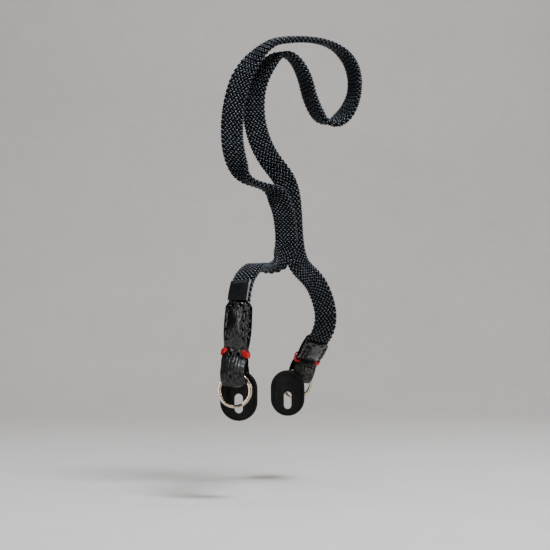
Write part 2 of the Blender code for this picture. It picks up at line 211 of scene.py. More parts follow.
# The rope's route from the near tab to the far one, in mm: right, away and up, then which way the
# rope's label side faces there, again as right, away and up.
ROUTE = (
    # near tab and near leg
    (1.3, -0.3, 37.8, -0.44, -0.9, 0),
    (1.9, -0.5, 47.1, -0.44, -0.9, 0),
    (2.6, -0.6, 57.9, -0.44, -0.9, 0),
    (3.5, 1.3, 64.5, -0.42, -0.9, 0.25),
    (5.2, 6.2, 70.9, -0.35, -0.8, 0.55),
    (7.8, 14.0, 75.5, -0.25, -0.55, 0.85),
    # run to the foot of the front strand
    (10.5, 23.5, 78.4, -0.15, -0.2, 1),
    (12.4, 33.5, 79.3, 0, 0, 1),
    (14.4, 43.0, 79.5, 0, 0, 1),
    (17.2, 51.0, 79.8, -0.12, 0.12, 1),
    (21.4, 57.0, 80.4, -0.42, 0.45, 0.75),
    (25.5, 60.0, 83.2, -0.48, 0.75, 0.3),
    # front strand
    (28.3, 61.2, 88.0, -0.3, 0.93, 0.05),
    (29.4, 61.5, 93.0, -0.1, 1, 0),
    (29.5, 61.5, 99.5, 0, 1, 0),
    (28.6, 61.5, 108.0, 0, 1, 0),
    (26.6, 61.2, 117.0, 0, 1, 0.15),
    # fold to the left
    (22.8, 60.6, 124.0, 0, 0.6, 0.75),
    (17.0, 60.0, 128.0, 0, 0.05, 1),
    (10.0, 59.8, 130.2, 0.05, 0.05, 1),
    (3.6, 60.0, 134.6, 0.3, 0.45, 0.8),
    (-0.2, 60.3, 142.5, 0.25, 0.95, 0.3),
    # left strand of the loop
    (-2.6, 60.5, 152.0, 0.05, 1, 0),
    (-3.2, 61.0, 162.0, 0, 1, 0),
    (-2.8, 61.5, 171.5, 0, 1, 0),
    (-0.4, 62.0, 184.5, 0.1, 1, -0.1),
    (2.6, 62.5, 194.0, 0.3, 1, -0.2),
    (7.6, 63.5, 202.8, 0.4, 0.8, -0.5),
    # over the top
    (13.8, 64.5, 210.4, 0.4, 0.5, -0.8),
    (22.0, 66.0, 216.5, 0.2, 0.3, -1),
    (30.5, 67.0, 218.0, 0, 0.25, -1),
    (39.5, 68.0, 218.5, -0.05, 0.2, -1),
    (49.5, 69.0, 217.5, -0.2, 0.1, -1),
    (57.5, 70.0, 215.0, -0.5, 0, -1),
    # right side of the loop
    (63.6, 70.5, 210.6, -0.8, -0.3, -0.8),
    (68.2, 71.0, 205.0, -1, -0.5, -0.4),
    (71.0, 71.5, 196.5, -1, -0.6, -0.1),
    (71.0, 72.0, 186.5, -1, -0.6, 0.1),
    (68.0, 72.0, 177.5, -0.9, -0.8, 0.5),
    (63.8, 72.0, 171.5, -0.5, -0.8, 0.8),
    # its lowest turn
    (58.5, 72.0, 168.2, 0, -0.5, 1),
    (54.2, 72.0, 168.4, 0.3, 0, 1),
    (50.0, 72.0, 171.3, 0.6, 0.4, 0.8),
    # up to the inner peak
    (46.4, 72.0, 177.5, 0.9, 0.6, 0.4),
    (43.4, 72.0, 185.0, 0.9, 0.6, 0.3),
    (41.4, 72.0, 193.5, 0.9, 0.6, 0.3),
    (38.6, 72.0, 200.3, 0.9, 0.5, 0.5),
    (34.6, 72.0, 206.6, 0.7, 0.3, 0.8),
    (29.6, 71.5, 210.2, 0.2, 0, 1),
    (25.0, 71.0, 209.4, -0.3, -0.3, 1),
    # inner strand, behind the left one
    (20.6, 70.5, 206.0, -0.5, -0.6, 0.6),
    (16.8, 70.0, 201.0, -0.6, -0.8, 0.4),
    (12.8, 70.0, 194.0, -0.5, -1, 0.2),
    (10.6, 70.0, 187.0, -0.3, -1, 0.1),
    (9.8, 70.0, 179.5, -0.2, -1, 0),
    (10.0, 70.0, 171.5, -0.1, -1, 0),
    (11.4, 70.0, 163.5, 0, -1, -0.1),
    (14.0, 70.0, 155.5, 0, -1, -0.2),
    (18.0, 70.0, 147.5, 0, -1, -0.35),
    (23.0, 70.0, 140.5, 0, -1, -0.5),
    (27.8, 69.6, 134.0, 0, -1, -0.4),
    # rear strand
    (30.8, 69.6, 126.5, 0, -1, -0.1),
    (32.1, 69.6, 117.5, 0, -1, 0),
    (32.7, 69.6, 108.0, 0, -1, 0),
    (33.2, 69.8, 98.5, 0, -1, 0),
    (34.4, 70.2, 89.5, 0.1, -1, 0),
    # far leg
    (36.6, 71.2, 82.8, 0.3, -0.95, -0.1),
    (39.6, 73.0, 78.4, 0.5, -0.8, -0.05),
    (43.4, 75.6, 75.2, 0.55, -0.75, -0.1),
    (46.8, 79.8, 71.4, 0.5, -0.8, -0.3),
    (49.8, 83.0, 66.2, 0.25, -0.85, -0.45),
    (52.2, 86.0, 60.0, 0.05, -0.9, -0.42),
    (53.8, 88.3, 53.4, 0, -0.92, -0.38),
    (53.9, 90.6, 47.2, -0.02, -0.85, -0.45),
    (52.6, 94.0, 41.3, -0.03, -0.7, -0.65),
    # far tab
    (49.8, 99.7, 36.2, -0.04, -0.47, -0.88),
    (47.5, 108.3, 31.7, -0.04, -0.47, -0.88),
    (45.2, 117.0, 27.2, -0.04, -0.47, -0.88),
)

# How far apart the braid's rows are, by the place along the rope, in mm. Where the rope is drawn
# out they lie further apart.
ROW_PITCH = (
    # along, pitch
    (0, 2.8),
    (50, 2.85),
    (85, 2.6),
    (125, 2.35),
    (170, 2.5),
    (192, 3.2),
    (235, 3.3),
    (260, 2.7),
    (300, 2.4),
    (350, 2.4),
    (405, 2.5),
    (430, 3.1),
    (530, 2.9),
    (548, 2.1),
    (562, 2.7),
    (580, 3.5),
    (640, 3.6),
)

# How far the rows slant, by the place along the rope in mm, as mm along for each mm across. They
# slant where the rope is drawn round a bend in its own plane.
ROW_SLANT = (
    # along, slant
    (0, 0.0),
    (105, 0.0),
    (130, 0.2),
    (160, 0.42),
    (178, 0.4),
    (195, 0.12),
    (220, -0.1),
    (250, 0.0),
    (640, 0.0),
)

# The middle of a tab's layer behind the rope, down to its loop. The front layer mirrors it.
LAYER = (
    # y, z
    (LAYER_MID + 0.2 * MM, TAB_TOP),
    (LAYER_MID, WAIST + 7.2 * MM),
    (LAYER_MID - 0.75 * MM, WAIST + 4.6 * MM),
    (WAIST_MID, WAIST + 2.4 * MM),
    (WAIST_MID, WAIST),
    (WAIST_MID, WAIST - 2.4 * MM),
    (3.4 * MM, WAIST - 5.2 * MM),
    (5.3 * MM, 4.4 * MM),
    (LOOP_MID - 0.1 * MM, 1.8 * MM),
)

TAB_WIDTHS = (
    # height, half width
    (-LOOP_OUTER, 7.0 * MM),
    (WAIST - 7.0 * MM, 7.0 * MM),
    (WAIST - 4.0 * MM, 7.5 * MM),
    (WAIST, 7.5 * MM),
    (WAIST + 5.0 * MM, 7.4 * MM),
    (TAB_TOP - 2.8 * MM, 7.2 * MM),
    (TAB_TOP, 5.4 * MM),
)

rng = np.random.default_rng(11)


def photo_camera():
    """The camera at the photograph's angle: a little to the right of the near end, looking up a bit."""
    data = bpy.data.cameras.new("photo_camera")
    data.lens = CAMERA_LENS
    data.sensor_width = CAMERA_SENSOR
    data.clip_start = 0.01
    data.clip_end = 30
    camera = bpy.data.objects.new("photo_camera", data)
    bpy.context.scene.collection.objects.link(camera)
    camera.location = turned(CAMERA_PLACE)
    camera.rotation_euler = (CAMERA_TILT, 0, LAYOUT_TURN)
    bpy.context.scene.camera = camera


def add_piece(name, verts, faces, look, body="strap", replaces=(), sharp=40, uv=None):
    """A mesh piece with its material, body and the CAD nodes that it stands for. uv holds named layers,
    each with one pair for every vertex."""
    mesh = bpy.data.meshes.new(name)
    mesh.from_pydata(np.asarray(verts).tolist(), [], faces)
    mesh.validate()
    corner = np.empty(len(mesh.loops), int)
    mesh.loops.foreach_get("vertex_index", corner)
    for layer, pairs in (uv or {}).items():
        made = mesh.uv_layers.new(name=layer)
        made.data.foreach_set("uv", np.asarray(pairs, np.float32)[corner].ravel())
    mesh.shade_smooth()
    if sharp:
        mesh.set_sharp_from_angle(angle=math.radians(sharp))
    mesh.materials.append(look)
    obj = bpy.data.objects.new(name, mesh)
    bpy.context.scene.collection.objects.link(obj)
    if replaces:
        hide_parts(*replaces)
    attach(obj, body)
    return obj


def tube_faces(rows, around, closed=False, first=0):
    """Faces of a tube of rings of equal size, with a cap at each end unless it closes on itself."""
    faces = []
    for k in range(rows if closed else rows - 1):
        low = first + k * around
        high = first + ((k + 1) % rows) * around
        for j in range(around):
            nxt = (j + 1) % around
            faces.append((low + j, low + nxt, high + nxt, high + j))
    if not closed:
        faces.append(tuple(first + j for j in reversed(range(around))))
        faces.append(tuple(first + (rows - 1) * around + j for j in range(around)))
    return faces


def tube(points, radius, around, first=0):
    """Vertices, faces and UVs of a round thread along the points, drawn in at both ends."""
    points = np.asarray(points)
    along = np.gradient(points, axis=0)
    along /= np.linalg.norm(along, axis=1)[:, None]
    side = np.cross(along, np.array([0.31, 0.52, 0.79]))
    side /= np.linalg.norm(side, axis=1)[:, None]
    lift = np.cross(side, along)
    turns = 2 * math.pi * np.arange(around) / around
    size = np.full(len(points), radius)
    size[[0, -1]] *= 0.6
    ring = np.cos(turns)[None, :, None] * side[:, None] + np.sin(turns)[None, :, None] * lift[:, None]
    verts = points[:, None] + size[:, None, None] * ring
    run = np.concatenate(([0], np.cumsum(np.linalg.norm(np.diff(points, axis=0), axis=1))))
    pairs = np.stack(np.broadcast_arrays(run[:, None] / MM, turns[None] / (2 * math.pi)), axis=-1)
    return verts.reshape(-1, 3), tube_faces(len(points), around, first=first), pairs.reshape(-1, 2)


def bell(offset, width):
    """One where the offset is zero, falling off over the width."""
    return np.exp(-((offset / width) ** 2))


def rounded_box(width, thick, radius, steps):
    """The outline of a flat box with round corners, as (across, through) pairs."""
    outline = []
    for corner, (sx, sy) in enumerate(((1, 1), (-1, 1), (-1, -1), (1, -1))):
        cx = sx * (width / 2 - radius)
        cy = sy * (thick / 2 - radius)
        for k in range(steps + 1):
            turn = math.pi / 2 * (corner + k / steps)
            outline.append((cx + radius * math.cos(turn), cy + radius * math.sin(turn)))
    return outline


def frame_at(place, across, up):
    """The matrix of a frame at place whose Z is up and whose X is the nearest to across."""
    z = up.normalized()
    x = (across - across.dot(z) * z).normalized()
    y = z.cross(x)
    return Matrix.Translation(place) @ Matrix((x, y, z)).transposed().to_4x4()


def hermite(rows, per_span):
    """Samples of a smooth curve through the rows, whose first three values are a place."""
    rows = np.array(rows, float)
    ahead = np.linalg.norm(np.diff(rows[:, :3], axis=0), axis=1)[:, None]
    slope = np.diff(rows, axis=0) / ahead
    inner = (slope[:-1] * ahead[1:] + slope[1:] * ahead[:-1]) / (ahead[1:] + ahead[:-1])
    tangent = np.vstack((slope[:1], inner, slope[-1:]))
    samples = []
    for k in range(per_span):
        u = k / per_span
        samples.append(
            (2 * u**3 - 3 * u**2 + 1) * rows[:-1]
            + (u**3 - 2 * u**2 + u) * ahead * tangent[:-1]
            + (3 * u**2 - 2 * u**3) * rows[1:]
            + (u**3 - u**2) * ahead * tangent[1:]
        )
    spans = np.stack(samples, axis=1).reshape(-1, rows.shape[1])
    return np.vstack((spans, rows[-1:]))


def evened(samples, step):
    """The samples at equal steps along the curve."""
    run = np.linalg.norm(np.diff(samples[:, :3], axis=0), axis=1)
    at = np.concatenate(([0], np.cumsum(run)))
    wanted = np.linspace(0, at[-1], round(at[-1] / step) + 1)
    return np.stack([np.interp(wanted, at, column) for column in samples.T], axis=1)


def eased(samples):
    """The samples averaged with their neighbours, with both ends kept."""
    reach = EASE_OVER // 2
    before = 2 * samples[0] - samples[reach:0:-1]
    after = 2 * samples[-1] - samples[-2 : -reach - 2 : -1]
    longer = np.vstack((before, samples, after))
    weight = np.hanning(EASE_OVER + 2)[1:-1]
    weight /= weight.sum()
    return np.stack([np.convolve(column, weight, "valid") for column in longer.T], axis=1)


def turned(vector):
    """A direction or place of the layout, in the part's own axes."""
    return Matrix.Rotation(LAYOUT_TURN, 3, "Z") @ Vector(vector)


def rope_frames():
    """Every millimetre along the rope: its place, the way it runs, its label side and its width."""
    rows = np.array([(*turned(row[:3]), *turned(row[3:])) for row in ROUTE])
    samples = eased(evened(hermite(rows, 12), ROUTE_STEP))
    place = samples[:, :3] * MM
    along = np.gradient(place, axis=0)
    along /= np.linalg.norm(along, axis=1)[:, None]
    face = samples[:, 3:]
    face = face - (face * along).sum(axis=1)[:, None] * along
    face /= np.linalg.norm(face, axis=1)[:, None]
    return place, along, face, np.cross(along, face)


ROPE = rope_frames()
ROPE_RUN = np.concatenate(([0], np.cumsum(np.linalg.norm(np.diff(ROPE[0], axis=0), axis=1))))
ROPE_LENGTH = ROPE_RUN[-1]


def rope_at(run, across, out):
    """Places on the rope by how far along it they are, and by their offsets over its width and out
    of its label side."""
    place, face, width = (
        np.stack([np.interp(run, ROPE_RUN, column) for column in ROPE[k].T], axis=-1) for k in (0, 2, 3)
    )
    return place + across[..., None] * width + out[..., None] * face


def section_table():
    """The core's outline at even steps round it: across, out and the outward direction."""
    outline = rounded_box(2 * CORE_HALF_WIDTH, 2 * CORE_HALF_THICK, CORE_RADIUS, OUTLINE_STEPS)
    outline = np.array(outline + outline[:1])
    # it starts at the middle of the right edge
    start = np.argmin(np.hypot(outline[:-1, 0] - CORE_HALF_WIDTH, outline[:-1, 1]))
    outline = np.vstack((outline[start:-1], outline[: start + 1]))
    run = np.concatenate(([0], np.cumsum(np.linalg.norm(np.diff(outline, axis=0), axis=1))))
    even = np.linspace(0, run[-1], SECTION_SAMPLES)
    x, y = (np.interp(even, run, outline[:, k]) for k in (0, 1))
    dx = np.gradient(np.concatenate((x[-4:-1], x, x[1:4])))[3:-3]
    dy = np.gradient(np.concatenate((y[-4:-1], y, y[1:4])))[3:-3]
    size = np.hypot(dx, dy)
    return even, x, y, dy / size, -dx / size


SECTION = section_table()
GIRTH = SECTION[0][-1]


def on_rope(run, round_it, lift):
    """Places on the braid by how far along the rope, how far round it and how high over its core."""
    even, x, y, nx, ny = SECTION
    q = np.mod(round_it, GIRTH)
    across = np.interp(q, even, x) + lift * np.interp(q, even, nx)
    out = np.interp(q, even, y) + lift * np.interp(q, even, ny)
    where, slant = zip(*ROW_SLANT)
    return rope_at(run + np.interp(run / MM, where, slant) * across, across, out)


def rope_core(look):
    """The dark core that shows between the yarns."""
    around = 36
    rows = round(ROPE_LENGTH / MM)
    margin = 0.2 * MM
    run, q = np.meshgrid(
        np.linspace(margin, ROPE_LENGTH - margin, rows),
        np.arange(around) * GIRTH / around,
        indexing="ij",
    )
    verts = on_rope(run, q, np.zeros_like(run)).reshape(-1, 3)
    return add_piece(
        "rope_core", verts, tube_faces(rows, around), look, replaces=("flat_rope",)
    )


def rows_along():
    """The count of braid rows up to each place along the rope, as two matching lists."""
    run = np.linspace(0, ROPE_LENGTH, 2000)
    where, pitch = zip(*ROW_PITCH)
    per = 1 / (np.interp(run / MM, where, pitch) * MM)
    count = np.concatenate(([0], np.cumsum((per[1:] + per[:-1]) / 2 * np.diff(run))))
    return run, count


def braid(name, first, last, look):
    """The yarns that show from one place along the rope to another. Every yarn passes over two others
    before it dives, and the columns lean to the right and to the left in turn, so that each row runs
    across the rope as a zigzag."""
    run_of, count_of = rows_along()
    low, high = np.interp((first, last), run_of, count_of)
    wide = GIRTH / COLUMNS
    centres = []
    for column in range(COLUMNS):
        shift = YARN_SHIFT * (column % 2)
        for row in np.arange(math.ceil(low - shift), math.ceil(high - shift)) + shift:
            centres.append((row, (column + 0.5) * wide, 1 - 2 * (column % 2)))
    centres = np.array(centres)
    count = len(centres)
    centres[:, 0] += rng.normal(0, ROW_SPREAD, count)
    centres[:, 1] += rng.normal(0, ROUND_SPREAD, count)
    tall = rng.normal(1, TALL_SPREAD, count)
    broad = rng.normal(1, BROAD_SPREAD, count)
    lean = rng.normal(1, LEAN_SPREAD, count)

    steps = np.array(YARN_STEPS)
    rings = len(steps)
    turns = 2 * math.pi * np.arange(YARN_AROUND) / YARN_AROUND
    row = centres[:, 0, None] + YARN_REACH * steps
    run = np.interp(row, count_of, run_of)
    ahead, behind = (np.interp(centres[:, 0] + part, count_of, run_of) for part in (0.5, -0.5))
    pitch = ahead - behind
    sweep = centres[:, 2] * lean * YARN_LEAN * wide
    q = centres[:, 1, None] + sweep[:, None] * steps
    slope = sweep / (YARN_REACH * pitch)
    size = np.hypot(1, slope)
    step_run = -slope / size
    step_q = 1 / size
    half = YARN_HALF_WIDTH * (pitch * broad)[:, None] * (1 - YARN_NARROWER * np.abs(steps) ** 3)
    rise = YARN_LIFT - YARN_DIVE * steps**2
    thick = YARN_HALF_TALL * tall[:, None] * (1 - YARN_FLATTER * steps**2)
    half[:, [0, -1]] *= YARN_TIP
    thick[:, [0, -1]] *= YARN_TIP
    side = half[..., None] * np.cos(turns)
    lift = rise[None, :, None] + thick[..., None] * np.sin(turns)
    verts = on_rope(
        np.clip(run[..., None] + step_run[:, None, None] * side, 0, ROPE_LENGTH),
        q[..., None] + step_q[:, None, None] * side,
        lift,
    ).reshape(-1, 3)

    each = rings * YARN_AROUND
    one = tube_faces(rings, YARN_AROUND)
    quads = np.array(one[:-2])
    offsets = np.arange(count) * each
    faces = (quads[None] + offsets[:, None, None]).reshape(-1, 4).tolist()
    for start in offsets.tolist():
        faces.extend(tuple(start + corner for corner in cap) for cap in one[-2:])
    along, around = np.meshgrid((steps + 1) / 2, np.arange(YARN_AROUND) / YARN_AROUND, indexing="ij")
    pairs = np.tile(np.stack((along, around), axis=-1).reshape(-1, 2), (count, 1))
    own = np.repeat(rng.random((count, 2)), each, axis=0)
    return add_piece(
        name, verts, faces, look, sharp=0, uv={"yarn": pairs, "own": own}
    )


def tab_path():
    """The middle of the folded leather in a tab's own frame, as (y, z) pairs close together."""
    front = [(-y, z) for y, z in LAYER]
    bottom = []
    for k in range(1, 8):
        turn = math.pi * k / 8
        bottom.append((-LOOP_MID * math.cos(turn), -LOOP_MID * math.sin(turn)))
    rows = [(y, z, 0) for y, z in front + bottom + list(reversed(LAYER))]
    samples = evened(hermite(rows, 8), TAB_STEP)
    return samples[:, :2]


def half_width(height):
    """Half the width of a tab's strip, by the height over the ring's wire."""
    heights, halves = zip(*TAB_WIDTHS)
    return np.interp(height, heights, halves)


def tab_shape(wire, head):
    """A function from a place in a tab's own frame to where it lies. The tab stands as the wire's
    frame does round the ring and as the head's frame does round the rope, and bends between."""
    low = wire.to_3x3()
    high = head.to_3x3()
    foot = wire @ Vector((0, 0, BEND_FROM))
    neck = head @ Vector((0, 0, BEND_TO - TAB_TOP))
    reach = BEND_TO - BEND_FROM

    def placed(x, y, z):
        if z <= BEND_FROM:
            return wire @ Vector((x, y, z))
        if z >= BEND_TO:
            return head @ Vector((x, y, z - TAB_TOP))
        u = float(z - BEND_FROM) / reach
        share = 3 * u**2 - 2 * u**3
        start = (u**3 - 2 * u**2 + u) * reach * low.col[2]
        end = (u**3 - u**2) * reach * high.col[2]
        middle = foot.lerp(neck, share) + start + end
        rises = (
            (6 * u - 6 * u**2) * (neck - foot)
            + (3 * u**2 - 4 * u + 1) * reach * low.col[2]
            + (3 * u**2 - 2 * u) * reach * high.col[2]
        )
        return frame_at(middle, low.col[0].lerp(high.col[0], share), rises) @ Vector((x, y, 0))

    return placed


def leather_outer(share):
    """How high a tab's outer side stands over its inner one, by the share of its half width."""
    return LEATHER - LEATHER_DROP * np.abs(share) ** LEATHER_ROUNDING


def seam_at(x, height):
    """How far from a tab's middle the seam on the same side as x lies."""
    return half_width(height) - np.where(np.asarray(x) < 0, STITCH_IN_LEFT, STITCH_IN_RIGHT)


def pits():
    """The stitch holes of one layer of a tab, as (x, height, half width, half height, depth)."""
    holes = []
    for side in (-1, 1):
        for height in STITCH_HEIGHTS:
            holes.append((side * float(seam_at(side, height * MM)), height * MM, *SEAM_HOLE))
        for x, *rest in (TOP_HOLE, WAIST_HOLE):
            holes.append((side * x, *rest))
    return holes


def leather_relief(x, z, run):
    """What the creases, the sewn channel and the holes add to a tab's outer side, and how deep in a
    hole each place is, from 0 to 1."""
    u, v = x / MM, z / MM
    bend = np.sin(u * 0.62 + 0.8 * np.sin(v * 0.31 + 1.0) + 0.6)
    relief = SWELL * bend * np.sin(v * 0.47 + 0.5 * np.sin(u * 0.4) + 0.4)
    # creases that run down the loop from the waist, and wander a little
    wander = 0.5 * np.sin(v * 0.23 + 0.8) + 0.25 * np.sin(v * 0.4 + u * 0.5)
    wave = 0.9 - 1.8 * np.abs(np.sin(u * 1.7 + wander)) ** 0.8 + 0.3 * np.sin(u * 4.3 - wander)
    fades = np.clip((v + 3.5) / 7, 0, 1) * np.clip((WAIST / MM + 1 - v) / 2, 0, 1)
    relief += CREASE * wave * fades
    # a few folds across it, where it bends round the ring
    relief += FOLD * np.sin(run / MM * 1.7 + 0.6 * np.sin(u * 0.8)) * (v < 6)
    # gathers that run up from the waist
    pinch = bell(z - WAIST - 1.8 * MM, 4.2 * MM)
    swirl = np.sin(u * 1.7 + 0.9 * np.sin(v * 0.8)) + 0.6 * np.sin(u * 3.1 - v * 0.7)
    relief += GATHER * pinch * swirl
    # the sewn channel and the holes
    channel = bell(np.abs(x) - seam_at(x, z), CHANNEL_WIDE)
    relief -= CHANNEL_DEEP * channel * np.clip((v - 15.5) / 4, 0, 1)
    holes = np.zeros_like(x)
    for hole_x, hole_z, wide, tall, depth in pits():
        here = bell(((x - hole_x) / wide) ** 2 + ((z - hole_z) / tall) ** 2, 1)
        relief -= depth * here
        holes = np.maximum(holes, here)
    return relief, holes


def leather_tab(name, placed, look, node):
    """One leather strip folded round the ring's wire, with its creases and stitch holes."""
    path = tab_path()
    ahead = np.gradient(path, axis=0)
    ahead /= np.linalg.norm(ahead, axis=1)[:, None]
    outward = np.stack((ahead[:, 1], -ahead[:, 0]), axis=1)
    run = np.arange(len(path)) * TAB_STEP
    # the outer side's columns stand closer together toward its edges
    outer = 0.4 * np.cos(np.linspace(0, np.pi, TAB_OUTER_COLUMNS))
    outer += 0.6 * np.linspace(1, -1, TAB_OUTER_COLUMNS)
    inner = np.linspace(-0.985, 0.985, TAB_INNER_COLUMNS)
    low = -LEATHER / 2
    verts = []
    pairs = []
    hole_shade_and_crease = []
    for (y, z), (ny, nz), at in zip(path, outward, run):
        half = float(half_width(z))
        x = outer * half
        corner = np.clip(1 - (half - np.abs(x)) / EDGE_ROUND, 0, 1)
        edge = EDGE_DROP * (1 - np.sqrt(1 - corner**2))
        fade = np.clip((half - np.abs(x)) / EDGE_FADE, 0, 1)
        end = min(at, run[-1] - at)
        tip = TIP_DROP * max(0, 1 - end / TIP_LONG) ** 2
        relief, holes = leather_relief(x, np.full_like(x, z), at)
        lift = low + leather_outer(outer) - edge - tip + fade * relief
        for px, raised, hole_shade in zip(x, lift, holes):
            verts.append(placed(px, y + ny * raised, z + nz * raised))
            pairs.append((px / MM, at / MM))
            # the holes' mask is kept to paint shade into them; the second value marks the creased loop
            # below the waist
            hole_shade_and_crease.append((hole_shade, min(max((WAIST - z) / (3 * MM), 0), 1)))
        for share in inner:
            raised = low + (0.12 * MM if abs(share) > 0.95 else 0)
            verts.append(placed(share * half, y + ny * raised, z + nz * raised))
            pairs.append((share * half / MM, at / MM))
            hole_shade_and_crease.append((0.0, 0.0))
    around = len(outer) + len(inner)
    add_piece(
        name, verts, tube_faces(len(path), around), look,
        replaces=(node,), uv={"strip": pairs, "hole_shade_and_crease": hole_shade_and_crease},
    )


def stitches(name, placed, look):
    """The dark thread that shows between the stitch holes on both layers of a tab."""
    path = tab_path()
    middle = len(path) // 2
    verts = []
    faces = []
    pairs = []
    for layer in (path[:middle][::-1], path[middle:]):
        for side in (-1, 1):
            for low, high in zip(STITCH_HEIGHTS, STITCH_HEIGHTS[1:]):
                points = []
                for share in np.linspace(0, 1, 9):
                    z = (low + STITCH_CLEAR + (high - low - 2 * STITCH_CLEAR) * share) * MM
                    y = np.interp(z, layer[:, 1], layer[:, 0])
                    x = side * float(seam_at(side, z))
                    raised = leather_outer(abs(x) / half_width(z)) - LEATHER / 2
                    arch = STITCH_PROUD - (STITCH_PROUD + STITCH_DEEP) * abs(2 * share - 1) ** 6
                    points.append(placed(x, math.copysign(abs(y) + raised + arch * MM, y), z))
                made = tube(points, STITCH_RADIUS, 8, first=len(verts))
                verts.extend(made[0])
                faces.extend(made[1])
                pairs.extend(made[2])
    add_piece(name, verts, faces, look, uv={"thread": pairs})


def whipping(name, placed, side, look, node):
    """Turns of red thread round one edge of a tab's waist, in through a hole at both ends."""
    verts = []
    faces = []
    pairs = []
    half = float(half_width(WAIST))
    inner_y = WAIST_MID - LEATHER / 2
    # x, y over one turn, front to back
    front = [
        (WHIP_INNER_X, inner_y + 0.6 * MM),
        (WHIP_INNER_X + 0.05 * MM, inner_y + 1.75 * MM),
        (WHIP_INNER_X + 0.6 * MM, inner_y + LEATHER + 0.3 * MM),
        (WHIP_INNER_X + 1.6 * MM, inner_y + LEATHER + 0.2 * MM),
        (half - 0.1 * MM, inner_y + LEATHER - 0.15 * MM),
        (half + 0.42 * MM, inner_y + 1.0 * MM),
    ]
    loop = [(x, -y) for x, y in front] + [(half + 0.5 * MM, 0)] + list(reversed(front))
    for turn in range(WHIP_TURNS):
        place = turn - (WHIP_TURNS - 1) / 2
        rows = []
        for x, y in loop:
            reach = (x - WHIP_INNER_X) / (half - WHIP_INNER_X)
            spread = 0.3 + 0.4 * math.sin(0.75 * math.pi * min(reach, 1))
            height = WAIST + WHIP_RISE + place * spread * MM
            rows.append((x, y, height - WHIP_SLANT * (x - WHIP_INNER_X) - 0.02 * y))
        points = evened(hermite(rows, 6), 0.35 * MM)
        points = [placed(side * x, y, z) for x, y, z in points]
        made = tube(points, WHIP_RADIUS, 10, first=len(verts))
        verts.extend(made[0])
        faces.extend(made[1])
        pairs.extend(made[2])
    add_piece(name, verts, faces, look, replaces=(node,), uv={"thread": pairs})


def split_ring(name, matrix, look, body, node):
    """Two coils of flattened wire joined by a jog. The frame's origin is on the wire at the top."""
    outline = rounded_box(RING_RADIAL, RING_COIL, RING_CORNER, 5)
    shift = (RING_COIL + RING_COIL_GAP) / 2
    total = 2 * RING_COIL_TURN + RING_JOG_TURN - RING_SHORT
    steps = 300
    verts = []
    pairs = []
    for k in range(steps + 1):
        turn = total * k / steps
        jog = min(max((turn - RING_COIL_TURN) / RING_JOG_TURN, 0), 1)
        side = -shift + 2 * shift * (3 * jog**2 - 2 * jog**3)
        ray = Vector((math.cos(RING_START + turn), 0, math.sin(RING_START + turn)))
        centre = Vector((0, side, -RING_MID))
        slim = 0.8 if k in (0, steps) else 1.0
        for j, (u, v) in enumerate(outline):
            verts.append(matrix @ (centre + ray * (RING_MID + slim * u) + Vector((0, slim * v, 0))))
            pairs.append((turn * RING_MID / MM, j / len(outline)))
    add_piece(
        name, verts, tube_faces(steps + 1, len(outline)), look,
        body=body, replaces=(node,), uv={"wire": pairs},
    )


def oblong(wide, tall, rise, steps):
    """An upright oblong's outline in X and Z, round at both ends."""
    radius = wide / 2
    straight = tall / 2 - radius
    outline = []
    for end in (1, -1):
        for k in range(steps + 1):
            turn = math.pi * k / steps
            up = straight + radius * math.sin(turn)
            outline.append((end * radius * math.cos(turn), rise + end * up))
    return outline


def pad(name, place, look, node):
    """A leather plate with an upright slot, round edges and a pressed line along its rim."""
    outer = oblong(PAD_WIDE, PAD_TALL, 0, 30)
    slot = oblong(SLOT_WIDE, SLOT_TALL, SLOT_RISE, 30)
    back = [(share, PAD_THICK / MM - depth) for share, depth in reversed(PAD_PROFILE)]
    profile = [*PAD_PROFILE, *back]
    verts = []
    pairs = []
    for share, depth in profile:
        for (x0, z0), (x1, z1) in zip(outer, slot):
            x = x0 + (x1 - x0) * share
            z = z0 + (z1 - z0) * share
            verts.append(place + Vector((x, depth * MM, z)))
            pairs.append((share, depth))
    faces = tube_faces(len(profile), len(outer), closed=True)
    add_piece(name, verts, faces, look, replaces=(node,), uv={"strip": pairs})


def label(look):
    """The bare patch on the rope over the near tab: a soft-edged plate with a line pressed along its
    rim."""
    across = LABEL_RIGHT - LABEL_LEFT
    rows, columns = 46, 48
    verts = []
    pairs = []
    x = LABEL_LEFT + across * np.linspace(0, 1, columns)
    for k in range(rows):
        at = LABEL_LONG * k / (rows - 1)
        inset = np.minimum(np.minimum(x - LABEL_LEFT, LABEL_RIGHT - x), min(at, LABEL_LONG - at))
        soft = np.clip(1 - inset / LABEL_SOFT, 0, 1)
        top = LABEL_TOP - 0.5 * MM * (1 - np.sqrt(1 - soft**2 * 0.98))
        top -= 0.1 * MM * bell(inset - 1.3 * MM, 0.22 * MM)
        top += 0.05 * MM * np.clip((inset - 1.5 * MM) / (1.5 * MM), 0, 1)
        # the underside runs back under the plate
        run = np.full(2 * columns, LABEL_FROM + at)
        ring_x = np.concatenate((x, x[::-1]))
        ring_out = np.concatenate((top, np.full_like(x, LABEL_LOW)))
        verts.extend(rope_at(run, ring_x, ring_out))
        pairs.extend(np.stack((ring_x, run), axis=1) / MM)
    add_piece(
        "label_patch", verts, tube_faces(rows, 2 * columns), look,
        replaces=("label",), uv={"strip": pairs},
    )


def near_frames():
    """The near ring's frame, at its top wire, and the frame of the near tab's head."""
    top = Vector((0, 0, LOOP_HEIGHT))
    rises = Vector((math.sin(NEAR_HEAD_LEAN), 0, math.cos(NEAR_HEAD_LEAN)))
    across = Vector((math.cos(NEAR_HEAD_TURN), -math.sin(NEAR_HEAD_TURN), 0))
    return Matrix.Translation(top), frame_at(top + TAB_TOP * rises, across, rises)


